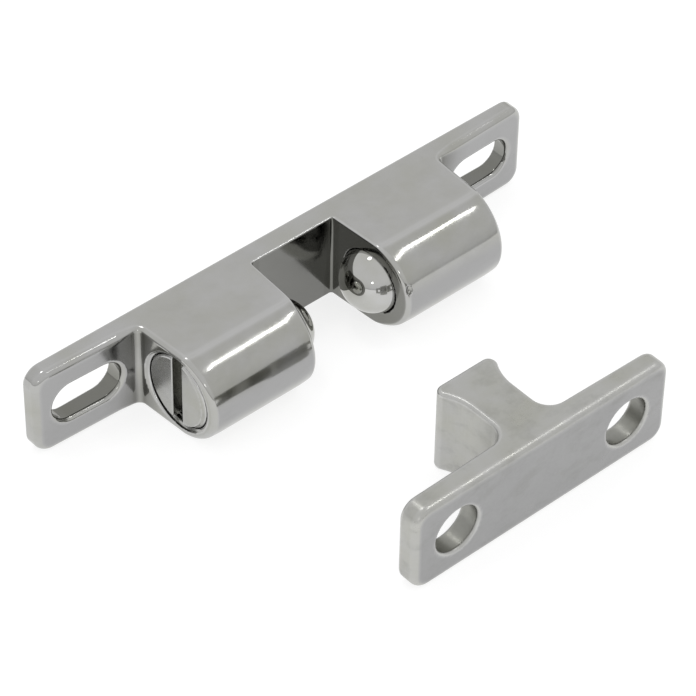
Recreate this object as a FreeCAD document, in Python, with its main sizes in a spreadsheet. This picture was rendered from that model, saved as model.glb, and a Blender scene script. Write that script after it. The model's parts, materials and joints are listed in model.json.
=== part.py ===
import FreeCAD, Part
import math
import os
import Sketcher

# An adjustable double ball catch and its strike, in millimetres.
# X runs along the catch, +Y points back through its mounting face, and +Z is up.
# The origin is the centre of the catch's mounting face, midway between its two slots.
# The catch's two barrels stand out towards -Y, with one bore axis along X at the height of the origin.
# The strike lies in front of the catch, with its tongue pointing at the throat between the barrels.

DRIVING_SIZES = [
    # alias, value, meaning
    ("plate_length", 70.0, "catch plate, end to end"),
    ("body_height", 11.2, "catch and strike, bottom to top"),
    ("body_depth", 14.5, "mounting face to the front of the barrels"),
    ("axis_depth", 8.4, "mounting face to the bores' axis"),
    ("web_thickness", 2.6, "plate between the barrels"),
    ("wing_root", 2.6, "wing thickness beside the barrel"),
    ("wing_tip", 2.1, "wing thickness at the plate's end"),
    ("corner_radius", 2.0, "corners of both plates, seen from the front"),
    ("barrel_span", 43.0, "outer end of one barrel to that of the other, at the plate"),
    ("throat_width", 11.6, "gap between the barrels, at the plate"),
    ("draft_slope", 0.06, "taper of the barrels' end faces, 3.4 degrees"),
    ("inner_radius", 0.8, "corners between wing and barrel"),
    ("edge_radius", 0.5, "softened outer edges of the castings"),
    ("slot_length", 9.0, "screw slot, end to end"),
    ("slot_width", 4.8, "screw slot, across"),
    ("slot_spacing", 56.4, "screw slot, centre to centre"),
    ("rim_radius", 0.5, "softened rims of the slots and strike holes"),
    ("thread_bore", 9.2, "tapped outer part of each bore, drawn plain"),
    ("thread_end", 14.2, "inner end of the tapped part, from the middle plane"),
    ("ball_bore", 8.2, "inner part of each bore, which guides the ball"),
    ("mouth_bore", 7.92, "lip that keeps the ball in"),
    ("lip_thickness", 0.25, "lip, measured on the bore axis"),
    ("ball_diameter", 8.0, "catch ball"),
    ("running_gap", 0.03, "free play between ball, lip and spring"),
    ("screw_diameter", 9.0, "adjusting screw, drawn without its thread"),
    ("screw_length", 4.0, "adjusting screw"),
    ("screw_chamfer", 0.25, "both ends of the adjusting screw"),
    ("screw_recess", 0.1, "screw's face below the barrel's end, on the bore axis"),
    ("driver_width", 1.6, "screwdriver slot, across"),
    ("driver_depth", 1.3, "screwdriver slot, deep"),
    ("seat_diameter", 7.6, "spring seat bored in the screw's inner end"),
    ("seat_depth", 1.5, "spring seat, deep"),
    ("wire_diameter", 0.7, "spring wire"),
    ("coil_diameter", 6.6, "spring, mean coil diameter"),
    ("coil_turns", 5.0, "spring turns"),
    ("punch_length", 1.3, "oval punch mark by the right barrel's lip, up and down"),
    ("punch_width", 0.7, "punch mark, along the barrel"),
    ("punch_offset", 6.95, "punch mark, from the middle plane"),
    ("punch_height", 2.1, "punch mark, above the bore axis"),
    ("strike_length", 36.0, "strike plate, end to end"),
    ("strike_edge", 2.7, "strike plate thickness at its ends"),
    ("strike_middle", 3.0, "strike plate thickness beside the tongue"),
    ("strike_hole", 5.75, "strike screw hole"),
    ("strike_spacing", 24.2, "strike screw holes, centre to centre"),
    ("strike_distance", 42.8, "mounting face of the catch to that of the strike"),
    ("tongue_reach", 13.0, "strike's mounting face to the tongue's tip"),
    ("tongue_neck", 5.9, "tongue across its waist"),
    ("tongue_head", 8.0, "tongue across its head"),
    ("neck_setback", 4.8, "waist, back from the tip"),
    ("head_radius", 1.0, "rounded corners of the head"),
    ("base_radius", 2.2, "fillet between tongue and plate"),
]


class Size:
    """A length with its value in millimetres and the expression that gives it from the sheet."""

    def __init__(self, value, text):
        self.value = float(value)
        self.text = text

    def __add__(self, other):
        other = as_size(other)
        return Size(self.value + other.value, f"({self.text} + {other.text})")

    def __sub__(self, other):
        other = as_size(other)
        return Size(self.value - other.value, f"({self.text} - {other.text})")

    def __mul__(self, other):
        other = as_size(other)
        return Size(self.value * other.value, f"({self.text} * {other.text})")

    def __truediv__(self, other):
        other = as_size(other)
        return Size(self.value / other.value, f"({self.text} / {other.text})")

    def __neg__(self):
        return Size(-self.value, f"(0 - {self.text})")


def as_size(number):
    """A plain number as a Size, and a Size as it is."""
    return number if isinstance(number, Size) else Size(number, repr(float(number)))


def square_root(size):
    """The square root of a Size."""
    return Size(math.sqrt(size.value), f"sqrt({size.text})")


doc = FreeCAD.newDocument("DoubleBallCatch")
sheet = doc.addObject("Spreadsheet::Sheet", "Sizes")
for row, (alias, value, meaning) in enumerate(DRIVING_SIZES, start=1):
    sheet.set(f"A{row}", meaning)
    sheet.set(f"B{row}", str(value))
    sheet.setAlias(f"B{row}", alias)
doc.recompute()
size = {alias: Size(value, f"Sizes.{alias}") for alias, value, meaning in DRIVING_SIZES}

# sizes that follow from the driving ones
half_height = size["body_height"] / 2
axis_depth = size["axis_depth"]
nose_depth = size["body_depth"] - half_height
outer_drop = (axis_depth - size["wing_root"]) * size["draft_slope"]
throat_drop = (axis_depth - size["web_thickness"]) * size["draft_slope"]
barrel_end = size["barrel_span"] / 2 - outer_drop
throat_face = size["throat_width"] / 2 + throat_drop
lip_inside = throat_face + size["lip_thickness"]
ball_radius = size["ball_diameter"] / 2
mouth_radius = size["mouth_bore"] / 2
ball_behind_lip = square_root(ball_radius * ball_radius - mouth_radius * mouth_radius)
ball_centre = lip_inside + ball_behind_lip + size["running_gap"]
wire_radius = size["wire_diameter"] / 2
coil_radius = size["coil_diameter"] / 2
ball_and_wire = ball_radius + wire_radius
spring_behind_ball = square_root(ball_and_wire * ball_and_wire - coil_radius * coil_radius)
spring_start = ball_centre + spring_behind_ball + size["running_gap"]
screw_face = barrel_end - size["screw_recess"]
seat_floor = screw_face - size["screw_length"] + size["seat_depth"]
spring_end = seat_floor - wire_radius - size["running_gap"]


def origin_plane(body, role):
    """One of the body's own origin planes or axes."""
    return next(item for item in body.Origin.OriginFeatures if item.Role == role)


def new_body(label):
    """An empty body, whose label names its file."""
    body = doc.addObject("PartDesign::Body", label)
    body.Label = label
    return body


def new_sketch(body, name, role):
    """An empty sketch on one of the body's origin planes."""
    sketch = body.newObject("Sketcher::SketchObject", name)
    sketch.AttachmentSupport = [(origin_plane(body, role), "")]
    sketch.MapMode = "FlatFace"
    return sketch


def bind(sketch, kind, *place, to):
    """Add a dimension that follows the sheet."""
    number = sketch.addConstraint(Sketcher.Constraint(kind, *place, to.value))
    sketch.setExpression(f"Constraints[{number}]", to.text)


def pin(sketch, geometry, end, point):
    """Hold one end of a line or an arc at a point."""
    bind(sketch, "DistanceX", -1, 1, geometry, end, to=as_size(point[0]))
    bind(sketch, "DistanceY", -1, 1, geometry, end, to=as_size(point[1]))


def vector(point):
    """A point of two Sizes or numbers as a vector."""
    return FreeCAD.Vector(as_size(point[0]).value, as_size(point[1]).value, 0)


def short_arc(start, end, radius, turn):
    """An arc between two vectors; turn is +1 anticlockwise and -1 clockwise, and it is the shorter one."""
    chord = end - start
    across = FreeCAD.Vector(-chord.y, chord.x, 0).normalize()
    to_centre = math.sqrt(max(radius**2 - (chord.Length / 2) ** 2, 0))
    centre = (start + end) / 2 + across * (turn * to_centre)
    return Part.Arc(start, centre - across * (turn * radius), end)


def outline(sketch, corners):
    """A closed outline. Each corner is (x, y), or (x, y, radius, turn) where an arc leaves it."""
    first = sketch.GeometryCount
    ends = []
    for number, corner in enumerate(corners):
        start = vector(corner)
        end = vector(corners[(number + 1) % len(corners)])
        if len(corner) == 2:
            sketch.addGeometry(Part.LineSegment(start, end), False)
            ends.append((1, 2))
            continue
        radius, turn = corner[2:]
        sketch.addGeometry(short_arc(start, end, radius.value, turn), False)
        # the sketcher runs every arc anticlockwise, so a clockwise one starts at its second end
        ends.append((1, 2) if turn > 0 else (2, 1))
    for number, corner in enumerate(corners):
        following = (number + 1) % len(corners)
        joint = (first + number, ends[number][1], first + following, ends[following][0])
        sketch.addConstraint(Sketcher.Constraint("Coincident", *joint))
        pin(sketch, first + number, ends[number][0], corner)
        if len(corner) > 2:
            bind(sketch, "Radius", first + number, to=corner[2])


def circle(sketch, centre, radius):
    """A circle at a point."""
    number = sketch.addGeometry(Part.Circle(vector(centre), FreeCAD.Vector(0, 0, 1), radius.value), False)
    pin(sketch, number, 3, centre)
    bind(sketch, "Radius", number, to=radius)


def turning_axis(sketch, start, end):
    """A construction line to turn a profile about."""
    line = sketch.addGeometry(Part.LineSegment(vector(start), vector(end)), True)
    pin(sketch, line, 1, start)
    pin(sketch, line, 2, end)


def pad(body, name, sketch, thickness):
    """A pad, half on each side of the sketch's plane."""
    feature = body.newObject("PartDesign::Pad", name)
    feature.Profile = sketch
    feature.SideType = "Symmetric"
    feature.setExpression("Length", thickness.text)
    doc.recompute()
    return feature


def cut_through(body, name, sketch):
    """A pocket right through the body, on both sides of the sketch's plane."""
    before = body.Shape.Volume
    feature = body.newObject("PartDesign::Pocket", name)
    feature.Profile = sketch
    feature.SideType = "Symmetric"
    feature.Type = "ThroughAll"
    doc.recompute()
    if feature.Shape.Volume > before - 0.01:
        raise RuntimeError(f"{name} cuts nothing")
    return feature


def groove(body, name, sketch):
    """A full turn of a profile, cut from the body."""
    before = body.Shape.Volume
    feature = body.newObject("PartDesign::Groove", name)
    feature.Profile = sketch
    feature.ReferenceAxis = (sketch, ["Axis0"])
    feature.Angle = 360
    doc.recompute()
    if feature.Shape.Volume > before - 0.01:
        raise RuntimeError(f"{name} cuts nothing")
    return feature


def fillet(body, name, chosen, radius):
    """A fillet on the edges of the body's tip that pass a test."""
    base = body.Tip
    edges = enumerate(base.Shape.Edges, start=1)
    names = [f"Edge{number}" for number, edge in edges if edge.Length > 0.01 and chosen(edge)]
    if not names:
        raise RuntimeError(f"{name} finds no edge")
    feature = body.newObject("PartDesign::Fillet", name)
    feature.Base = (base, names)
    feature.setExpression("Radius", radius.text)
    doc.recompute()
    return feature


def middle_of(edge):
    """The point halfway along an edge."""
    return edge.valueAt((edge.FirstParameter + edge.LastParameter) / 2)


def near(number, target, slack=0.02):
    """Whether a number is a target, given as a number or a Size."""
    return abs(number - as_size(target).value) < slack


def runs_along(edge, direction):
    """Whether an edge is a straight line along a direction."""
    if len(edge.Vertexes) != 2:
        return False
    span = edge.Vertexes[1].Point - edge.Vertexes[0].Point
    return near(span.Length, edge.Length) and near(abs(span.dot(direction)), span.Length)


ALONG_Y = FreeCAD.Vector(0, 1, 0)
ALONG_Z = FreeCAD.Vector(0, 0, 1)


def make_catch_body():
    """The casting: a slotted plate and two drafted, D-shaped barrels, bored from their outer ends."""
    body = new_body("catch_body")
    half_length = size["plate_length"] / 2
    root = size["barrel_span"] / 2
    front_drop = (size["body_depth"] - size["wing_root"]) * size["draft_slope"]
    barrel_front = root - front_drop
    throat_root = size["throat_width"] / 2
    throat_front = throat_root + (size["body_depth"] - size["web_thickness"]) * size["draft_slope"]
    right_half = [
        (half_length, 0),
        (half_length, -size["wing_tip"]),
        (root, -size["wing_root"]),
        (barrel_front, -size["body_depth"]),
        (throat_front, -size["body_depth"]),
        (throat_root, -size["web_thickness"]),
    ]
    left_half = [(-x, y) for x, y in reversed(right_half)]
    plan = new_sketch(body, "Plan", "XY_Plane")
    outline(plan, right_half + left_half)
    pad(body, "Casting", plan, size["body_height"])

    nose = new_sketch(body, "BarrelNose", "YZ_Plane")
    beyond = size["body_depth"] + 1
    above = half_height + 1
    outline(
        nose,
        [
            (-nose_depth, above),
            (-beyond, above),
            (-beyond, -above),
            (-nose_depth, -above),
            (-nose_depth, -half_height, half_height, -1),
            (-size["body_depth"], 0, half_height, -1),
            (-nose_depth, half_height),
        ],
    )
    cut_through(body, "RoundNoses", nose)

    for side, name in ((-1, "Left"), (1, "Right")):
        slot = new_sketch(body, f"{name}SlotShape", "XZ_Plane")
        slot_sketch(slot, side)
        cut_through(body, f"{name}Slot", slot)
        bore = new_sketch(body, f"{name}BoreProfile", "XY_Plane")
        bore_sketch(bore, side)
        groove(body, f"{name}Bore", bore)

    punch = body.newObject("PartDesign::SubtractiveEllipsoid", "PunchMark")
    punch.setExpression("Radius1", (size["punch_length"] / 2).text)
    punch.setExpression("Radius2", (size["punch_width"] / 2).text)
    punch.setExpression("Radius3", (size["punch_width"] / 2).text)
    punch_depth = nose_depth + square_root(
        half_height * half_height - size["punch_height"] * size["punch_height"]
    )
    punch.setExpression("Placement.Base.x", size["punch_offset"].text)
    punch.setExpression("Placement.Base.y", (-punch_depth).text)
    punch.setExpression("Placement.Base.z", size["punch_height"].text)
    doc.recompute()

    def plate_corner(edge):
        at = middle_of(edge)
        return runs_along(edge, ALONG_Y) and near(abs(at.x), half_length) and near(abs(at.z), half_height)

    def inner_corner(edge):
        at = middle_of(edge)
        return runs_along(edge, ALONG_Z) and near(abs(at.x), root) and near(-at.y, size["wing_root"])

    def slot_rim(edge):
        at = middle_of(edge)
        beyond_barrel = abs(at.x) > root.value + 0.5
        inside_plate = abs(at.z) < size["slot_width"].value / 2 + 0.1
        in_front = -at.y > size["wing_tip"].value - 0.1
        return beyond_barrel and inside_plate and in_front and abs(at.x) < half_length.value - 1

    def soft_edge(edge):
        at = middle_of(edge)
        at_side = abs(at.x) > barrel_front.value - 0.1
        in_front = -at.y > size["wing_tip"].value - 0.1
        on_outline = abs(at.z) > half_height.value / 2 or near(abs(at.x), half_length)
        return at_side and in_front and on_outline

    fillet(body, "PlateCorners", plate_corner, size["corner_radius"])
    fillet(body, "InnerCorners", inner_corner, size["inner_radius"])
    fillet(body, "SoftEdges", soft_edge, size["edge_radius"])
    fillet(body, "SlotRims", slot_rim, size["rim_radius"])
    return body


def slot_sketch(sketch, side):
    """A slot along X, on the left (-1) or right (+1) wing."""
    radius = size["slot_width"] / 2
    centre = size["slot_spacing"] / 2 * side
    reach = size["slot_length"] / 2 - radius
    outline(
        sketch,
        [
            (centre - reach, -radius),
            (centre + reach, -radius, radius, 1),
            (centre + reach + radius, 0, radius, 1),
            (centre + reach, radius),
            (centre - reach, radius, radius, 1),
            (centre - reach - radius, 0, radius, 1),
        ],
    )


def bore_sketch(sketch, side):
    """Half the bore's section: tapped part, ball guide and lip, from the outer end to the throat."""
    thread = size["thread_bore"] / 2
    guide = size["ball_bore"] / 2
    outside = size["barrel_span"] / 2 + 1
    throat = size["throat_width"] / 2 - 0.5
    steps = [
        (outside, 0),
        (outside, thread),
        (size["thread_end"], thread),
        (size["thread_end"], guide),
        (lip_inside, guide),
        (lip_inside, mouth_radius),
        (throat, mouth_radius),
        (throat, 0),
    ]
    outline(sketch, [(x * side, radius - axis_depth) for x, radius in with_sizes(steps)])
    turning_axis(sketch, (throat * side, -axis_depth), (outside * side, -axis_depth))


def with_sizes(steps):
    """The same points, with every number a Size."""
    return [(as_size(x), as_size(y)) for x, y in steps]


def make_ball(label, side):
    """A ball, resting against its lip."""
    ball = doc.addObject("Part::Sphere", label)
    ball.Label = label
    ball.setExpression("Radius", ball_radius.text)
    ball.setExpression("Placement.Base.x", (ball_centre * side).text)
    ball.setExpression("Placement.Base.y", (-axis_depth).text)
    return ball


def along_bore(body, side):
    """Place a body that is made along +Z so that its +Z points outwards along a bore."""
    turn = FreeCAD.Rotation(FreeCAD.Vector(0, 1, 0), 90 * side)
    body.Placement = FreeCAD.Placement(FreeCAD.Vector(0, -axis_depth.value, 0), turn)


def make_spring(label, side):
    """A compression spring between ball and screw, wound along Z and laid along the bore."""
    body = new_body(label)
    wire = new_sketch(body, "Wire", "XZ_Plane")
    circle(wire, (coil_radius, spring_start), wire_radius)
    coil = body.newObject("PartDesign::AdditiveHelix", "Coil")
    coil.Profile = wire
    coil.ReferenceAxis = (wire, ["V_Axis"])
    coil.Mode = "height-turns-angle"
    coil.setExpression("Height", (spring_end - spring_start).text)
    coil.setExpression("Turns", size["coil_turns"].text)
    doc.recompute()
    along_bore(body, side)
    return body


def make_screw(label, side):
    """A plug screw: driver slot outside, spring seat inside. Its thread is left out."""
    body = new_body(label)
    radius = size["screw_diameter"] / 2
    seat = size["seat_diameter"] / 2
    chamfer = size["screw_chamfer"]
    inner_face = screw_face - size["screw_length"]
    section = new_sketch(body, "Section", "XZ_Plane")
    outline(
        section,
        with_sizes(
            [
                (0, seat_floor),
                (seat, seat_floor),
                (seat, inner_face),
                (radius - chamfer, inner_face),
                (radius, inner_face + chamfer),
                (radius, screw_face - chamfer),
                (radius - chamfer, screw_face),
                (0, screw_face),
            ]
        ),
    )
    turned = body.newObject("PartDesign::Revolution", "Turned")
    turned.Profile = section
    turned.ReferenceAxis = (section, ["V_Axis"])
    turned.Angle = 360
    doc.recompute()

    driver = new_sketch(body, "DriverShape", "YZ_Plane")
    half_width = size["driver_width"] / 2
    slot_floor = screw_face - size["driver_depth"]
    outline(
        driver,
        [
            (-half_width, slot_floor),
            (half_width, slot_floor),
            (half_width, screw_face + 1),
            (-half_width, screw_face + 1),
        ],
    )
    cut_through(body, "DriverSlot", driver)
    along_bore(body, side)
    return body


def make_strike():
    """The strike: a screwed plate, thickest in the middle, with a waisted tongue."""
    body = new_body("strike")
    half_length = size["strike_length"] / 2
    neck = size["tongue_neck"] / 2
    head = size["tongue_head"] / 2
    reach = size["tongue_reach"]
    corner = size["head_radius"]
    neck_place = reach - size["neck_setback"]
    root_place = size["strike_middle"] + size["base_radius"]
    # the flank leaves the waist square to the plate and swings out, and the head's round corner touches it
    corner_x = head - corner
    flare = corner_x - neck
    climb = size["neck_setback"] - corner
    flank = (flare * flare + climb * climb - corner * corner) / ((corner + flare) * 2)
    share = corner / (flank + corner)
    meeting_x = corner_x + (flank - flare) * share
    meeting_y = reach - corner - climb * share
    right_half = [
        (half_length, 0),
        (half_length, size["strike_edge"]),
        (neck + size["base_radius"], size["strike_middle"], size["base_radius"], -1),
        (neck, root_place),
        (neck, neck_place, flank, -1),
        (meeting_x, meeting_y, corner, 1),
        (corner_x, reach),
    ]
    plan = new_sketch(body, "Plan", "XY_Plane")
    outline(plan, right_half + mirrored(right_half))
    pad(body, "Casting", plan, size["body_height"])

    holes = new_sketch(body, "HoleShapes", "XZ_Plane")
    for side in (-1, 1):
        circle(holes, (size["strike_spacing"] / 2 * side, 0), size["strike_hole"] / 2)
    cut_through(body, "ScrewHoles", holes)

    def plate_corner(edge):
        at = middle_of(edge)
        return runs_along(edge, ALONG_Y) and near(abs(at.x), half_length) and near(abs(at.z), half_height)

    def hole_rim(edge):
        at = middle_of(edge)
        inside_outline = abs(at.x) < half_length.value - size["corner_radius"].value
        return near(at.y, 0) and inside_outline and abs(at.z) < half_height.value - 1

    def front_outline(edge):
        return near(middle_of(edge).y, 0) and not hole_rim(edge)

    fillet(body, "PlateCorners", plate_corner, size["corner_radius"])
    fillet(body, "SoftEdges", front_outline, size["edge_radius"])
    fillet(body, "HoleRims", hole_rim, size["rim_radius"])
    body.setExpression("Placement.Base.y", (-size["strike_distance"]).text)
    return body


def mirrored(corners):
    """The corners of a right half as a left half that carries the outline on, arcs included."""
    left = []
    for number, corner in enumerate(reversed(corners)):
        place = (-corner[0], corner[1])
        before = corners[-2 - number] if number + 2 <= len(corners) else ()
        left.append(place + tuple(before[2:]))
    return left


catch_body = make_catch_body()
parts = [catch_body]
for side, hand in ((-1, "left"), (1, "right")):
    parts.append(make_ball(f"ball_{hand}", side))
    parts.append(make_spring(f"spring_{hand}", side))
    parts.append(make_screw(f"adjusting_screw_{hand}", side))
parts.append(make_strike())
doc.recompute()

for item in doc.Objects:
    if "Invalid" in item.State or "Error" in item.State:
        raise RuntimeError(f"{item.Label} failed: {item.State}")
for part in parts:
    if part.Shape.isNull() or not part.Shape.isValid():
        raise RuntimeError(f"{part.Label} has no valid shape")

os.makedirs("parts", exist_ok=True)
for part in parts:
    part.Shape.exportStep(f"parts/{part.Label}.step")
    box = part.Shape.BoundBox
    print(f"{part.Label}: {part.Shape.Volume:.1f} mm3, {box.XLength:.2f} x {box.YLength:.2f} x {box.ZLength:.2f}")
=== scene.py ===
"""An adjustable double ball catch and its strike: meshes, finishes, light and camera around the CAD frame.

Lengths are in metres. X runs along the catch, +Y points back through its mounting face, and +Z is up.
Each casting is a field, negative inside the metal and zero on its surface. Its mesh is drawn on that surface.
Both castings are alike left and right, so most places are given by "side", the distance from the middle.
"""

import json
import math

import bpy
import numpy as np
from mathutils import Matrix, Vector


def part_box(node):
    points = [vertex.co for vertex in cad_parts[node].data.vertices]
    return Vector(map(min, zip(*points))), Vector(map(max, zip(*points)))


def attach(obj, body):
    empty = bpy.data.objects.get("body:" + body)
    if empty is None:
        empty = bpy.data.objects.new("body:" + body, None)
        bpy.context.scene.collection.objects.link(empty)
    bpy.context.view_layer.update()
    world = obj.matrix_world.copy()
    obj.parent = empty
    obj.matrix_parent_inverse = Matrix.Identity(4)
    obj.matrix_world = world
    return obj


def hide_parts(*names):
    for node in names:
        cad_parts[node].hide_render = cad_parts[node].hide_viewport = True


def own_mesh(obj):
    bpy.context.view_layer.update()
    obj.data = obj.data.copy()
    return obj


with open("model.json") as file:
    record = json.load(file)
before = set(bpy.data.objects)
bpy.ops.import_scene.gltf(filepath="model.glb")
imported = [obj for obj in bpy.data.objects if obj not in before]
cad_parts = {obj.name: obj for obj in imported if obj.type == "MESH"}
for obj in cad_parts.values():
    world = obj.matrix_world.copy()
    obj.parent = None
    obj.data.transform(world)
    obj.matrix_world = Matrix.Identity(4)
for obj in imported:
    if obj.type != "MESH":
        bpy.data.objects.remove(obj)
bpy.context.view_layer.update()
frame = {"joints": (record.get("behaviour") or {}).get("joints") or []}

MM = 0.001
SIDES = (("left", -1), ("right", 1))

# ---------------------------------------------------------------- sizes, from the frame's boxes

body_low, body_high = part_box("catch_body")
half_length = body_high.x
half_height = body_high.z
body_depth = -body_low.y

ball_low, ball_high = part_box("ball_right")
ball_radius = (ball_high.z - ball_low.z) / 2
ball_centre_x = (ball_low.x + ball_high.x) / 2
axis_y = (ball_low.y + ball_high.y) / 2

screw_low, screw_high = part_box("adjusting_screw_right")
screw_radius = (screw_high.z - screw_low.z) / 2
screw_length = screw_high.x - screw_low.x

spring_low, spring_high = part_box("spring_right")
coil_outer_radius = (spring_high.z - spring_low.z) / 2

strike_low, strike_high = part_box("strike")
strike_half = strike_high.x
strike_face = strike_low.y
tongue_reach = strike_high.y - strike_low.y

# the catch's plate, wings and barrels: thicknesses, half spans and the slope of the cast faces
WEB = 2.6 * MM
WING_ROOT = 2.6 * MM
WING_TIP = 2.1 * MM
BARREL_END = 21.5 * MM
THROAT = 5.8 * MM
DRAFT = 0.06
CORNER_RADIUS = 2.0 * MM
WING_ROOT_RADIUS = 0.8 * MM
THROAT_ROOT_RADIUS = 0.3 * MM
NOSE_OVERSIZE = 0.08 * MM

# the catch's mounting slots
SLOT_CENTRE = 28.2 * MM
SLOT_RADIUS = 2.4 * MM
SLOT_STRAIGHT = 2.1 * MM

# the bores, from the tapped outer part to the lip that holds the ball
THREAD_RADIUS = 4.6 * MM
THREAD_END = 14.2 * MM
THREAD_PITCH = 0.75 * MM
THREAD_DEPTH = 0.28 * MM
GUIDE_RADIUS = 4.1 * MM
MOUTH_RADIUS = 3.96 * MM
LIP_INSIDE = 6.4 * MM

# the catch's edges, worn round by polishing, and the flat mounting face's narrow ones
BACK_BAND = 0.9 * MM
BACK_EDGE = 0.15 * MM
THROAT_EDGE = 0.2 * MM
BARREL_EDGE = 0.6 * MM
WING_EDGE = 0.9 * MM
NOSE_EDGE = 0.55 * MM
FLAT_EDGE = 0.05 * MM
SLOT_RIM = 0.6 * MM
SLOT_BACK_RIM = 0.1 * MM
BORE_RIM = 0.2 * MM
MOUTH_RIM = 0.08 * MM

# how much painted shade the throat's walls get, from 0 to 1
THROAT_SHADE = 0.72

# how far polishing has worn the barrels' rounds down at their ends, and over what length
DROOP = 0.12 * MM
DROOP_LENGTH = 2.2 * MM

# the oval punch mark on the right barrel
PUNCH_PLACE = 6.95 * MM
PUNCH_HEIGHT = 2.1 * MM
PUNCH_HALF_WIDTH = 0.35 * MM
PUNCH_HALF_HEIGHT = 0.65 * MM

# the adjusting screws and springs
DRIVER_HALF_WIDTH = 0.8 * MM
DRIVER_DEPTH = 1.3 * MM
SEAT_RADIUS = 3.8 * MM
SEAT_DEPTH = 1.5 * MM
SCREW_EDGE = 0.25 * MM
SCREW_RIM = 0.12 * MM
WIRE_RADIUS = 0.35 * MM
COIL_TURNS = 5

# the strike's plate and its tongue
STRIKE_EDGE = 2.7 * MM
STRIKE_MIDDLE = 3.0 * MM
STRIKE_HOLE = 12.1 * MM
STRIKE_HOLE_RADIUS = 2.875 * MM
STRIKE_HOLE_RIM = 0.45 * MM
FACE_BAND = 1.2 * MM
FACE_EDGE = 0.9 * MM
TONGUE_EDGE = 0.5 * MM
TONGUE_BASE_RADIUS = 2.2 * MM
NECK = 2.95 * MM
NECK_SETBACK = 4.8 * MM
HEAD = 4.0 * MM
HEAD_RADIUS = 1.0 * MM

# how far a mesh's grid reaches past the metal, and how far an outline's open side does
MARGIN = 0.3 * MM
BEYOND = 5 * MM


# ---------------------------------------------------------------- fields and outlines


def both(a, b, radius):
    """The field of what is inside both a and b, with the edge between them rounded."""
    over_a = np.maximum(radius + a, 0)
    over_b = np.maximum(radius + b, 0)
    return np.minimum(-radius, np.maximum(a, b)) + np.hypot(over_a, over_b)


def rounded_outline(corners, step=math.radians(4)):
    """A closed outline of points. Each corner is (x, y, radius), and is replaced by an arc of that radius."""
    points = []
    places = [Vector(corner[:2]) for corner in corners]
    for number, (x, y, radius) in enumerate(corners):
        here = places[number]
        if not radius:
            points.append(here)
            continue
        back = (places[number - 1] - here).normalized()
        onward = (places[(number + 1) % len(places)] - here).normalized()
        half_angle = back.angle(onward) / 2
        centre = here + (back + onward).normalized() * (radius / math.sin(half_angle))
        start = here + back * (radius / math.tan(half_angle)) - centre
        turn = back.angle_signed(-onward)
        for share in np.linspace(0, 1, max(2, int(abs(turn) / step) + 2)):
            points.append(centre + Matrix.Rotation(-turn * share, 2) @ start)
    return np.array(points)


def outline_distance(u, v, outline):
    """Distance to an outline, negative inside it."""
    squared = np.inf
    inside = np.zeros(np.broadcast(u, v).shape, bool)
    for (u0, v0), (u1, v1) in zip(outline, np.roll(outline, -1, axis=0)):
        du, dv = u1 - u0, v1 - v0
        along = np.clip(((u - u0) * du + (v - v0) * dv) / (du * du + dv * dv), 0, 1)
        squared = np.minimum(squared, (u - u0 - du * along) ** 2 + (v - v0 - dv * along) ** 2)
        if dv:
            inside ^= ((v0 > v) != (v1 > v)) & (u < (v - v0) * du / dv + u0)
    return np.sqrt(squared) * np.where(inside, -1, 1)


def rounded_rectangle(u, v, half_u, half_v, radius):
    """Distance to a rectangle about the origin with rounded corners, negative inside it."""
    over_u = np.abs(u) - half_u + radius
    over_v = np.abs(v) - half_v + radius
    outside = np.hypot(np.maximum(over_u, 0), np.maximum(over_v, 0))
    return outside + np.minimum(np.maximum(over_u, over_v), 0) - radius


def thread_wave(along, y, z):
    """0 at a thread's crest and 1 at its root, for points beside the bore axis."""
    turns = along / THREAD_PITCH + np.arctan2(z, y - axis_y) / math.tau
    return 0.5 - 0.5 * np.cos(turns * math.tau)


def slope_of(field, points, step=0.002 * MM):
    """The field at each point, and its gradient there."""
    x, y, z = points.T
    slope = np.empty_like(points)
    for axis in range(3):
        ahead = [x, y, z]
        behind = [x, y, z]
        ahead[axis] = ahead[axis] + step
        behind[axis] = behind[axis] - step
        slope[:, axis] = (field(*ahead) - field(*behind)) / (2 * step)
    return field(x, y, z), slope


def convexity(field, points, reach=0.12 * MM):
    """How sharply a surface curves outwards at each point, 0 where it is flat or hollow and 1 on an edge."""
    x, y, z = points.T
    total = -6 * field(x, y, z)
    for axis in range(3):
        for way in (-reach, reach):
            beside = [x, y, z]
            beside[axis] = beside[axis] + way
            total = total + field(*beside)
    bend = total / reach**2 * MM
    flat, sharp = 0.5, 3.5
    return np.clip((bend - flat) / (sharp - flat), 0, 1)


def occlusion(field, points, normals):
    """How far other walls close in around each point, 0 in the open and 1 deep in a corner. It sets where
    shade is painted into the colour.
    """
    total = 0
    for reach in (1.2 * MM, 3.5 * MM, 7.0 * MM):
        value = field(*(points + normals * reach).T)
        total = total + np.clip(1 - value / reach, 0, 1)
    return np.clip(total / 2, 0, 1)


def grid_line(*runs):
    """Grid planes along one axis: each run is (start, end, spacing), and runs share their ends."""
    planes = [np.linspace(a, b, max(2, round((b - a) / step) + 1)) for a, b, step in runs]
    return np.unique(np.concatenate(planes).round(9))


def mirrored_line(*runs):
    """Grid planes along one axis, the same on both sides of zero."""
    half = grid_line(*runs)
    return np.unique(np.concatenate([-half, half]).round(9))


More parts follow.
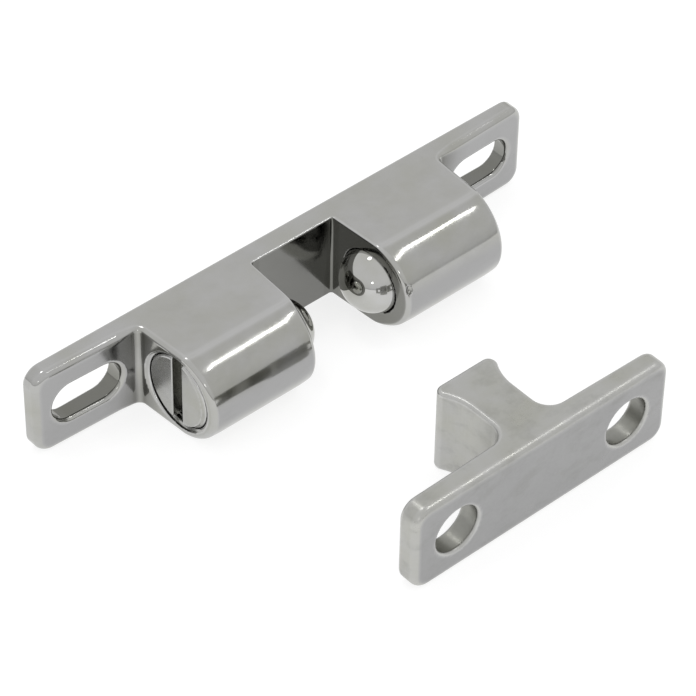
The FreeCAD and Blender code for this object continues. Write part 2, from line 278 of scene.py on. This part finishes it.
def crossing_sums(values, lines, axis):
    """Where a field changes sign along one axis, added up for the four grid cells round each such place."""
    cells = tuple(len(line) - 1 for line in lines)
    total = np.zeros(cells + (3,))
    count = np.zeros(cells)
    near = np.moveaxis(values, axis, 0)[:-1]
    far = np.moveaxis(values, axis, 0)[1:]
    crossed = (near < 0) != (far < 0)
    share = np.where(crossed, near / np.where(crossed, near - far, 1), 0)
    places = [np.moveaxis(place, axis, 0) for place in np.meshgrid(*lines, indexing="ij")]
    moved = [place[:-1] + share * (place[1:] - place[:-1]) for place in places]
    crossed = np.moveaxis(crossed, 0, axis)
    moved = [np.moveaxis(place, 0, axis) for place in moved]
    beside = [other for other in range(3) if other != axis]
    for first in (0, 1):
        for second in (0, 1):
            cut = [slice(None)] * 3
            cut[beside[0]] = slice(first, cells[beside[0]] + first)
            cut[beside[1]] = slice(second, cells[beside[1]] + second)
            here = crossed[tuple(cut)]
            count += here
            for part in range(3):
                total[..., part] += np.where(here, moved[part][tuple(cut)], 0)
    return total, count


def cell_faces(solid, number):
    """A square between the points of the four cells round each grid edge that leaves the metal."""
    faces = []
    for axis in range(3):
        lower = np.moveaxis(solid, axis, 0)[:-1]
        upper = np.moveaxis(solid, axis, 0)[1:]
        a, b, c = np.nonzero(lower != upper)
        near_cells = np.moveaxis(number, axis, 0)
        corners = ((b - 1, c - 1), (b, c - 1), (b, c), (b - 1, c))
        ring = np.stack([near_cells[a, first, second] for first, second in corners], axis=1)
        outward = lower[a, b, c] == (axis != 1)
        faces.append(np.where(outward[:, None], ring, ring[:, ::-1]))
    return np.concatenate(faces)


def surface_mesh(name, field, x, y, z):
    """The surface where a field is zero: one point in each grid cell that it crosses, moved onto it."""
    values = field(x[:, None, None], y[None, :, None], z[None, None, :])
    values = np.broadcast_to(values, (len(x), len(y), len(z)))
    sums = [crossing_sums(values, (x, y, z), axis) for axis in range(3)]
    total = sum(places for places, _ in sums)
    count = sum(crossings for _, crossings in sums)
    used = count > 0
    points = total[used] / count[used][:, None]
    number = np.full(count.shape, -1)
    number[used] = np.arange(len(points))
    faces = cell_faces(values < 0, number)

    for _ in range(3):
        value, slope = slope_of(field, points)
        points = points - slope * (value / np.maximum((slope**2).sum(1), 1e-9))[:, None]
    slope = slope_of(field, points)[1]
    normals = slope / np.linalg.norm(slope, axis=1)[:, None]
    return new_mesh(name, points, faces, normals, convexity(field, points), occlusion(field, points, normals))


def new_mesh(name, points, faces, normals, wear_and_sheen=None, painted_shade=None):
    """A smooth mesh object with its own normals, and attributes for its edges, which get wear and a painted
    highlight, and for its corners, which get painted shade.
    """
    mesh = bpy.data.meshes.new(name)
    mesh.from_pydata(points.tolist(), [], faces.tolist())
    mesh.shade_smooth()
    mesh.normals_split_custom_set_from_vertices(normals.tolist())
    # edge carries wear and a painted highlight, and the second attribute carries the painted shade of corners
    for label, values in (("edge", wear_and_sheen), ("painted_shade", painted_shade)):
        attribute = mesh.attributes.new(label, "FLOAT", "POINT")
        attribute.data.foreach_set("value", np.zeros(len(points)) if values is None else values)
    piece = bpy.data.objects.new(name, mesh)
    bpy.context.scene.collection.objects.link(piece)
    return piece


# ---------------------------------------------------------------- the catch's casting

nose_y = half_height - body_depth
nose_back = nose_y + NOSE_OVERSIZE
nose_radius = half_height + NOSE_OVERSIZE


def tapered(start, behind, depth):
    """Where a drafted barrel face is, at a depth in front of the mounting face."""
    return start + (depth - behind) * DRAFT


past_depth = body_depth + BEYOND
catch_plan = rounded_outline([
    (-BEYOND, 0, 0),
    (half_length + BEYOND, 0, 0),
    (half_length + BEYOND, -WING_TIP, 0),
    (half_length, -WING_TIP, 0),
    (BARREL_END, -WING_ROOT, WING_ROOT_RADIUS),
    (2 * BARREL_END - tapered(BARREL_END, WING_ROOT, past_depth), -past_depth, 0),
    (tapered(THROAT, WEB, past_depth), -past_depth, 0),
    (THROAT, -WEB, THROAT_ROOT_RADIUS),
    (-BEYOND, -WEB, 0),
])


def bore_field(side, y, z):
    """The stepped bore: a lip, the ball's guide and the tapped part with its thread."""
    radius = np.hypot(y - axis_y, z)
    groove = THREAD_DEPTH * thread_wave(side, y, z)
    tapped = np.maximum(radius - THREAD_RADIUS - groove, THREAD_END - side)
    guide = np.maximum(radius - GUIDE_RADIUS, LIP_INSIDE - side)
    return np.minimum(np.minimum(tapped, guide), radius - MOUTH_RADIUS)


def punch_field(x, y, z):
    """A small oval punch mark on the right barrel's round, near its lip."""
    front = nose_y - math.sqrt(half_height**2 - PUNCH_HEIGHT**2)
    across = (x - PUNCH_PLACE) / PUNCH_HALF_WIDTH
    deep = (y - front) / PUNCH_HALF_WIDTH
    tall = (z - PUNCH_HEIGHT) / PUNCH_HALF_HEIGHT
    return (np.sqrt(across**2 + deep**2 + tall**2) - 1) * PUNCH_HALF_WIDTH


def edge_radius(side, y):
    """How round the catch's edges are: crisp in the throat and at the back, soft outside and at the noses."""
    places = (12 * MM, 14 * MM, 22 * MM, 24 * MM)
    front = np.interp(side, places, (THROAT_EDGE, BARREL_EDGE, BARREL_EDGE, WING_EDGE))
    nose = np.clip((nose_y - y) / (2.5 * MM), 0, 1)
    return np.where(y > -BACK_BAND, BACK_EDGE, front + (NOSE_EDGE - front) * nose)


def polish_droop(side, y):
    """How far polishing has worn a barrel's round down near its two ends."""
    behind = -y - WEB
    from_throat = side - THROAT - behind * DRAFT
    from_end = BARREL_END - behind * DRAFT - side
    near_end = np.clip(1 - np.minimum(from_throat, from_end) / DROOP_LENGTH, 0, 1)
    on_round = np.clip((nose_y + 1 * MM - y) / (4 * MM), 0, 1)
    return DROOP * near_end**2 * on_round


def catch_field(x, y, z):
    """The slotted plate and its two D-shaped barrels, which are bored from their outer ends."""
    side = np.abs(x)
    plan = outline_distance(side, y, catch_plan)
    front = rounded_rectangle(x, z, half_length, half_height, CORNER_RADIUS)
    nose = np.hypot(np.minimum(y - nose_back, 0), z) - nose_radius + polish_droop(side, y)
    shell = both(front, nose, FLAT_EDGE)
    casting = both(shell, plan, edge_radius(side, y))
    casting = both(casting, -bore_field(side, y, z), np.where(side > THREAD_END, BORE_RIM, MOUTH_RIM))
    slot = np.hypot(np.maximum(np.abs(side - SLOT_CENTRE) - SLOT_STRAIGHT, 0), z) - SLOT_RADIUS
    casting = both(casting, -slot, np.where(y > -BACK_BAND, SLOT_BACK_RIM, SLOT_RIM))
    return both(casting, -punch_field(x, y, z), FLAT_EDGE)


def shade_throat(casting):
    """Mark the throat's walls for painted shade, darkening their colour where shade falls between the
    barrels.
    """
    count = len(casting.data.vertices)
    points = np.empty(count * 3)
    casting.data.vertices.foreach_get("co", points)
    x, y = points.reshape(-1, 3)[:, :2].T
    shaded = np.empty(count)
    painted_shade = casting.data.attributes["painted_shade"].data
    painted_shade.foreach_get("value", shaded)
    slack = 0.06 * MM
    fade = 0.05 * MM
    between = np.clip((tapered(THROAT, WEB, -y) + slack - np.abs(x)) / fade, 0, 1)
    in_front = np.clip((-y - WEB + slack) / fade, 0, 1)
    painted_shade.foreach_set("value", np.maximum(shaded, THROAT_SHADE * between * in_front))


def make_catch():
    """The polished casting. The grid is fine where an edge, a thread or a thin wall needs it."""
    x = mirrored_line(
        (0, 5.2 * MM, 0.4 * MM),
        (5.2 * MM, 7.7 * MM, 0.12 * MM),
        (7.7 * MM, 13.9 * MM, 0.36 * MM),
        (13.9 * MM, 21.6 * MM, 0.125 * MM),
        (21.6 * MM, 33 * MM, 0.22 * MM),
        (33 * MM, half_length + MARGIN, 0.15 * MM),
    )
    y = grid_line(
        (-body_depth - 0.4 * MM, -12.4 * MM, 0.14 * MM),
        (-12.4 * MM, -3.4 * MM, 0.24 * MM),
        (-3.4 * MM, MARGIN, 0.13 * MM),
    )
    z = mirrored_line((0, 4.7 * MM, 0.22 * MM), (4.7 * MM, half_height + MARGIN, 0.12 * MM))
    casting = surface_mesh("catch_casting", catch_field, x, y, z)
    # paint shade onto the throat's walls
    shade_throat(casting)
    finish(casting, "polished_casting", "catch", "catch_body")


# ---------------------------------------------------------------- the strike


def tongue_corners():
    """The tongue's flank, which swings out from the waist, and the head's round corner, which touches it."""
    flare = HEAD - HEAD_RADIUS - NECK
    climb = NECK_SETBACK - HEAD_RADIUS
    flank = (flare**2 + climb**2 - HEAD_RADIUS**2) / (2 * (HEAD_RADIUS + flare))
    lean = math.asin(climb / (flank + HEAD_RADIUS))
    swing_place = tongue_reach - NECK_SETBACK + flank * math.tan(lean / 2)
    head_x = NECK + (tongue_reach - swing_place) * math.tan(lean)
    return [(NECK, swing_place, flank), (head_x, tongue_reach, HEAD_RADIUS)]


strike_plan = rounded_outline([
    (-BEYOND, 0, 0),
    (strike_half + BEYOND, 0, 0),
    (strike_half + BEYOND, STRIKE_EDGE, 0),
    (strike_half, STRIKE_EDGE, 0),
    (NECK, STRIKE_MIDDLE, TONGUE_BASE_RADIUS),
    *tongue_corners(),
    (-BEYOND, tongue_reach, 0),
])


def strike_field(x, y, z):
    """The screwed plate with its waisted tongue."""
    side = np.abs(x)
    back = y - strike_face
    plan = outline_distance(side, back, strike_plan)
    front = rounded_rectangle(x, z, strike_half, half_height, CORNER_RADIUS)
    casting = both(front, plan, np.where(back < FACE_BAND, FACE_EDGE, TONGUE_EDGE))
    hole = np.hypot(side - STRIKE_HOLE, z) - STRIKE_HOLE_RADIUS
    return both(casting, -hole, STRIKE_HOLE_RIM)


def make_strike():
    """The satin casting."""
    x = mirrored_line(
        (0, 4.4 * MM, 0.2 * MM),
        (4.4 * MM, 16 * MM, 0.24 * MM),
        (16 * MM, strike_half + MARGIN, 0.16 * MM),
    )
    y = strike_face + grid_line(
        (-MARGIN, 3.6 * MM, 0.14 * MM),
        (3.6 * MM, 11 * MM, 0.25 * MM),
        (11 * MM, tongue_reach + MARGIN, 0.14 * MM),
    )
    z = mirrored_line((0, 4.7 * MM, 0.24 * MM), (4.7 * MM, half_height + MARGIN, 0.13 * MM))
    casting = surface_mesh("strike_casting", strike_field, x, y, z)
    finish(casting, "satin_casting", "strike", "strike")


# ---------------------------------------------------------------- balls, springs and screws


def make_ball(hand, sign):
    """A steel ball: a cube's faces, divided and pushed out to a sphere."""
    squares = 40
    row = squares + 1
    ticks = np.tan(np.linspace(-math.pi / 4, math.pi / 4, row))
    u, v = np.meshgrid(ticks, ticks, indexing="ij")
    one = np.ones_like(u)
    sheets = [(one, u, v), (-one, v, u), (v, one, u), (u, -one, v), (u, v, one), (v, u, -one)]
    points = []
    faces = []
    for sheet in sheets:
        first = sum(len(part) for part in points)
        flat = np.stack(sheet, axis=-1).reshape(-1, 3)
        points.append(flat / np.linalg.norm(flat, axis=1)[:, None])
        corner = (np.arange(squares)[:, None] * row + np.arange(squares)).ravel() + first
        faces.append(np.stack([corner, corner + row, corner + row + 1, corner + 1], axis=1))
    points = np.concatenate(points)
    _, kept, merged = np.unique(points.round(6), axis=0, return_index=True, return_inverse=True)
    faces = merged.ravel()[np.concatenate(faces)]
    normals = points[kept]
    centre = np.array([ball_centre_x * sign, axis_y, 0])
    ball = new_mesh(f"catch_ball_{hand}", normals * ball_radius + centre, faces, normals)
    finish(ball, "ball_steel", f"{hand}_ball", f"ball_{hand}")


def make_spring(hand, sign):
    """A coil spring in two lengths: the inner one is carried by the ball's body and the outer one by the
    spring's own body.
    """
    middle = (spring_low.x + spring_high.x) / 2
    parts = (
        ("inner", (0, 0.5), f"{hand}_ball", f"{hand}_ball_press", spring_low.x),
        ("outer", (0.5, 1), f"{hand}_spring", f"{hand}_screw_travel", spring_high.x),
    )
    for part, stretch, body, joint, anchor in parts:
        coil = swept_coil(f"spring_{hand}_{part}", sign, stretch)
        finish(coil, "spring_steel", body, f"spring_{hand}")
        keep = 1 - joint_stroke(joint) / (abs(anchor - middle) + WIRE_RADIUS)
        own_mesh(coil)


def joint_stroke(name):
    """The travel of a sliding joint."""
    joint = next(joint for joint in frame["joints"] if joint["name"] == name)
    return max(abs(limit) for limit in joint["range_m"])


def coil_line(sign, stretch):
    """The middle of the spring's wire over a stretch of it, and the ways along it and out from its axis."""
    points_per_turn = 48
    start = spring_low.x + WIRE_RADIUS
    end = spring_high.x - WIRE_RADIUS
    mean_radius = coil_outer_radius - WIRE_RADIUS
    count = int(COIL_TURNS * (stretch[1] - stretch[0]) * points_per_turn) + 1
    share = np.linspace(*stretch, count)
    angle = share * COIL_TURNS * math.tau
    out = np.stack([np.zeros(count), np.cos(angle), np.sin(angle)], axis=1)
    middle = out * mean_radius
    middle[:, 0] = sign * (start + share * (end - start))
    middle[:, 1] += axis_y
    along = np.gradient(middle, axis=0)
    along /= np.linalg.norm(along, axis=1)[:, None]
    return middle, along, out


def swept_coil(name, sign, stretch):
    """Round wire along a stretch of the spring's helix, from 0 to 1 of its length, with rounded ends."""
    around = 16
    end_rings = 6
    middle, along, out = coil_line(sign, stretch)
    count = len(middle)
    across = np.cross(along, out)
    # each end is a half ball: its rings share the end's centre and lean backwards or forwards
    lean = np.linspace(0, math.pi / 2, end_rings)
    which = np.concatenate([np.zeros(end_rings, int), np.arange(1, count - 1), np.full(end_rings, count - 1)])
    reach = np.concatenate([np.sin(lean), np.ones(count - 2), np.sin(lean)[::-1]])
    push = np.concatenate([-np.cos(lean), np.zeros(count - 2), np.cos(lean)[::-1]])
    turn = (np.arange(around) / around * math.tau)[None, :, None]
    radial = np.cos(turn) * out[which][:, None] + np.sin(turn) * across[which][:, None]
    normals = radial * reach[:, None, None] + along[which][:, None] * push[:, None, None]
    points = middle[which][:, None] + WIRE_RADIUS * normals
    ring = np.arange(len(which) - 1)[:, None] * around
    here = ring + np.arange(around)
    following = ring + (np.arange(around) + 1) % around
    faces = np.stack([here, following, following + around, here + around], axis=-1)
    # the left coil is the right one's mirror image, so its faces turn the other way
    if sign < 0:
        faces = faces[..., ::-1]
    return new_mesh(name, points.reshape(-1, 3), faces.reshape(-1, 4), normals.reshape(-1, 3))


def screw_field(side_x, y, z):
    """A grub screw with its thread, a driver slot outside and a spring seat inside."""
    radius = np.hypot(y - axis_y, z)
    rim = radius - screw_radius + THREAD_DEPTH * thread_wave(side_x, y, z)
    middle = (screw_low.x + screw_high.x) / 2
    ends = np.abs(side_x - middle) - screw_length / 2
    blank = both(rim, ends, SCREW_EDGE)
    slot = np.maximum(np.abs(y - axis_y) - DRIVER_HALF_WIDTH, screw_high.x - DRIVER_DEPTH - side_x)
    seat = np.maximum(radius - SEAT_RADIUS, side_x - screw_low.x - SEAT_DEPTH)
    return both(both(blank, -slot, SCREW_RIM), -seat, SCREW_RIM)


def make_screw(hand, sign):
    """An adjusting screw, in the left or the right barrel."""

    def field(x, y, z):
        return screw_field(x * sign, y, z)

    margin = 0.25 * MM
    x = np.sort(sign * grid_line((screw_low.x - margin, screw_high.x + margin, 0.125 * MM)))
    across = mirrored_line((0, screw_radius + margin, 0.16 * MM))
    screw = surface_mesh(f"adjusting_screw_{hand}_plug", field, x, across + axis_y, across)
    finish(screw, "screw_plating", f"{hand}_screw", f"adjusting_screw_{hand}")


# ---------------------------------------------------------------- finishes


class Nodes:
    """A short way to write a material's node tree."""

    def __init__(self, tree):
        self.tree = tree

    def add(self, kind, inputs=None, **settings):
        """A node, with its settings and its inputs, each a value or another node's output."""
        node = self.tree.nodes.new(kind)
        for name, value in settings.items():
            setattr(node, name, value)
        for name, value in (inputs or {}).items():
            if isinstance(value, bpy.types.NodeSocket):
                self.tree.links.new(value, node.inputs[name])
            else:
                node.inputs[name].default_value = value
        return node

    def places(self, stretch=(1, 1, 1)):
        """The piece's own coordinates in millimetres, stretched along each axis."""
        own = self.add("ShaderNodeTexCoord").outputs["Object"]
        scale = tuple(part / MM for part in stretch)
        return self.add("ShaderNodeMapping", {"Vector": own, "Scale": scale}).outputs[0]

    def noise(self, size, detail=3.0, stretch=(1, 1, 1), rough=0.55):
        """Noise with features of about a size in millimetres."""
        inputs = {"Vector": self.places(stretch), "Scale": 1 / size, "Detail": detail, "Roughness": rough}
        return self.add("ShaderNodeTexNoise", inputs).outputs["Fac"]

    def spread(self, value, low, high, from_low=0.3, from_high=0.7):
        """A value moved to a range."""
        inputs = {"Value": value, "From Min": from_low, "From Max": from_high, "To Min": low, "To Max": high}
        return self.add("ShaderNodeMapRange", inputs).outputs["Result"]

    def math(self, operation, a, b):
        """Two values combined."""
        node = self.add("ShaderNodeMath", {0: a, 1: b}, operation=operation)
        return node.outputs[0]

    def blend(self, share, a, b):
        """Two colours mixed."""
        node = self.add("ShaderNodeMix", data_type="RGBA")
        for name, value in (("Factor_Float", share), ("A_Color", a), ("B_Color", b)):
            socket = next(item for item in node.inputs if item.identifier == name)
            if isinstance(value, bpy.types.NodeSocket):
                self.tree.links.new(value, socket)
            else:
                socket.default_value = value
        return next(item for item in node.outputs if item.identifier == "Result_Color")

    def bump(self, height, strength, distance, normal=None):
        """A bump from a height, in metres at full strength."""
        inputs = {"Height": height, "Strength": strength, "Distance": distance}
        if normal is not None:
            inputs["Normal"] = normal
        return self.add("ShaderNodeBump", inputs).outputs["Normal"]


def grey(level, olive=0.0):
    """A grey that lacks a share of its blue, so that it leans to olive."""
    return (level, level, level * (1 - olive), 1)


# each slot: base grey, mirror roughness, waviness, grain strength and how the grain is stretched; then how
# bright the painted shade leaves the flat fronts and the sheltered corners against the rest, and how strong
# the cloudy marks are
FINISHES = {
    "polished_casting": dict(
        level=0.42, rough=0.1, waves=0.4, grain=0.12, front=0.86, corner=0.3, marks=0.12,
    ),
    "satin_casting": dict(
        level=0.46, rough=0.3, waves=0.6, grain=0.4, front=0.74, corner=0.5, marks=0.4,
    ),
    "ball_steel": dict(level=0.5, rough=0.04, waves=0.03, grain=0.02),
    "spring_steel": dict(level=0.35, rough=0.28, waves=0.1, grain=0.3),
    "screw_plating": dict(
        level=0.42, rough=0.2, waves=0.3, grain=0.3, stretch=(1, 1, 3), front=0.95, corner=0.6, marks=0.25,
    ),
}


def metal_colour(nodes, masks, level, front, corner, marks):
    """The metal's colour: stains, painted shade on the flat fronts, cloudy marks, edges brightened partly by
    wear and partly as a painted highlight, and painted shade in the corners.
    """
    facing = nodes.add("ShaderNodeTexCoord").outputs["Normal"]
    forward = nodes.add("ShaderNodeSeparateXYZ", {0: facing}).outputs["Y"]
    clouds = nodes.noise(1.8, detail=4, stretch=(0.5, 0.6, 1), rough=0.65)
    stained = nodes.spread(masks["stains"], 0, 1)
    colour = nodes.blend(stained, grey(level * 0.91, 0.09), grey(level * 1.02, 0.015))
    # painted shade: faces that look straight forward are darkened
    colour = nodes.blend(nodes.spread(forward, 1, 0, -0.99, -0.9), colour, grey(level * front))
    colour = nodes.blend(nodes.spread(clouds, 0, marks, 0.5, 0.72), colour, grey(level * 0.55, 0.05))
    # edges brightened, partly as wear and partly as a painted highlight
    colour = nodes.blend(nodes.math("MULTIPLY", masks["edge"], 0.6), colour, grey(min(level * 1.35, 0.85)))
    # painted shade: sheltered corners are darkened to an olive grey
    return nodes.blend(nodes.spread(masks["painted_shade"], 0, 0.75, 0.1, 0.8), colour, grey(level * corner, 0.12))


def metal_dullness(nodes, masks, rough):
    """The metal's roughness: it varies with the stains and the grain, and worn edges are smoother."""
    dullness = nodes.math("ADD", nodes.spread(masks["stains"], -0.2 * rough, 0.35 * rough), rough)
    dullness = nodes.math("ADD", dullness, nodes.spread(masks["grain"], 0, 0.3 * rough))
    return nodes.math("SUBTRACT", dullness, nodes.math("MULTIPLY", masks["edge"], 0.3 * rough))


def make_finish(slot, level, rough, waves, grain, stretch=(1, 1, 1), front=1.0, corner=0.3, marks=0.0):
    """A metal: slow waves left by polishing, fine grain, stains, painted shade on its fronts and in its
    corners, and smoother edges, brightened partly by wear and partly as a painted highlight.
    """
    material = bpy.data.materials.new(slot)
    material.use_nodes = True
    nodes = Nodes(material.node_tree)
    metal = material.node_tree.nodes["Principled BSDF"]
    metal.inputs["Metallic"].default_value = 1.0

    masks = {
        "stains": nodes.noise(4.5, detail=4),
        "grain": nodes.noise(0.35, detail=3, stretch=stretch),
        # edge: wear and a painted highlight; the attribute after it: painted shade in corners
        "edge": nodes.add("ShaderNodeAttribute", attribute_name="edge").outputs["Fac"],
        "painted_shade": nodes.add("ShaderNodeAttribute", attribute_name="painted_shade").outputs["Fac"],
    }
    wavy = nodes.bump(nodes.noise(5.0, detail=1), waves, 0.05 * MM)
    looks = {
        "Base Color": metal_colour(nodes, masks, level, front, corner, marks),
        "Roughness": metal_dullness(nodes, masks, rough),
        "Normal": nodes.bump(masks["grain"], grain, 0.004 * MM, wavy),
    }
    for socket, value in looks.items():
        material.node_tree.links.new(value, metal.inputs[socket])
    return material


materials = {slot: make_finish(slot, **look) for slot, look in FINISHES.items()}


def finish(piece, slot, body, node):
    """Give a piece its material and body, in place of a CAD node."""
    piece.data.materials.append(materials[slot])
    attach(piece, body)
    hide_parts(node)


# ---------------------------------------------------------------- stage, light and camera


def make_floor():
    """A plain white floor under the two castings. It gives off light of its own, so that it stays pale."""
    reach = 3.0
    mesh = bpy.data.meshes.new("floor")
    corners = [(-reach, -reach, 0), (reach, -reach, 0), (reach, reach, 0), (-reach, reach, 0)]
    mesh.from_pydata(corners, [], [(0, 1, 2, 3)])
    floor = bpy.data.objects.new("floor", mesh)
    floor.location.z = -half_height
    bpy.context.scene.collection.objects.link(floor)
    material = bpy.data.materials.new("floor_white")
    material.use_nodes = True
    paper = material.node_tree.nodes["Principled BSDF"]
    paper.inputs["Base Color"].default_value = (0.35, 0.35, 0.35, 1)
    paper.inputs["Roughness"].default_value = 0.9
    paper.inputs["Specular IOR Level"].default_value = 0.1
    paper.inputs["Emission Color"].default_value = (1, 1, 1, 1)
    paper.inputs["Emission Strength"].default_value = 0.76
    mesh.materials.append(material)


# the studio's brightness, from the horizon, at 0, to straight overhead, at 1
SKY = [(0.0, 0.7), (0.02, 0.6), (0.05, 0.68), (0.12, 0.8), (0.4, 0.88), (0.7, 0.88), (1.0, 0.88)]


def make_room():
    """A soft studio: pale walls and ceiling, with a darker band just above the horizon."""
    world = bpy.data.worlds.new("studio")
    world.use_nodes = True
    bpy.context.scene.world = world
    nodes = Nodes(world.node_tree)
    way = nodes.add("ShaderNodeTexCoord").outputs["Generated"]
    height = nodes.add("ShaderNodeSeparateXYZ", {0: way}).outputs["Z"]
    ramp = nodes.add("ShaderNodeValToRGB", {"Fac": height})
    band = ramp.color_ramp
    while len(band.elements) < len(SKY):
        band.elements.new(0.5)
    for element, (place, level) in zip(band.elements, SKY):
        element.position = place
        element.color = (level, level, level, 1)
    background = world.node_tree.nodes["Background"]
    world.node_tree.links.new(ramp.outputs["Color"], background.inputs["Color"])
    background.inputs["Strength"].default_value = 1.0


LAMP_DISTANCE = 0.9
# each lamp: the direction that it shines from, its width and height, and its power in watts
LAMPS = {
    "streak_lamp": ((0.46, -0.28, 0.83), (0.3, 0.03), 0.3),
    "top_lamp": ((-0.01, 0.35, 0.94), (0.16, 0.16), 0.45),
    "front_lamp": ((-0.69, -0.6, 0.4), (0.07, 0.07), 0.1),
}


def make_lamp(name, direction, size, power):
    """A soft box that faces the origin from a direction."""
    light = bpy.data.lights.new(name, "AREA")
    light.shape = "ELLIPSE" if size[0] == size[1] else "RECTANGLE"
    light.size, light.size_y = size
    light.energy = power
    lamp = bpy.data.objects.new(name, light)
    way = Vector(direction).normalized()
    lamp.location = way * LAMP_DISTANCE
    lamp.rotation_euler = way.to_track_quat("Z", "Y").to_euler()
    bpy.context.scene.collection.objects.link(lamp)


def make_camera():
    """The camera, in front of the two castings, above them and to their left."""
    azimuth = math.radians(-41.93)
    elevation = math.radians(43.24)
    roll = math.radians(0.99)
    distance = 394.13 * MM
    target = Vector((-2.66, -14.96, -0.1)) * MM
    way = Vector((
        math.sin(azimuth) * math.cos(elevation),
        -math.cos(azimuth) * math.cos(elevation),
        math.sin(elevation),
    ))
    data = bpy.data.cameras.new("camera")
    data.sensor_width = 36
    data.lens = 189.5
    camera = bpy.data.objects.new("camera", data)
    camera.location = target + way * distance
    turn = way.to_track_quat("Z", "Y").to_matrix() @ Matrix.Rotation(roll, 3, "Z")
    camera.rotation_euler = turn.to_euler()
    bpy.context.scene.collection.objects.link(camera)
    bpy.context.scene.camera = camera


make_catch()
make_strike()
for hand, sign in SIDES:
    make_ball(hand, sign)
    make_spring(hand, sign)
    make_screw(hand, sign)

make_floor()
make_room()
for name, (direction, size, power) in LAMPS.items():
    make_lamp(name, direction, size, power)
make_camera()
bpy.context.scene.view_settings.view_transform = "Standard"
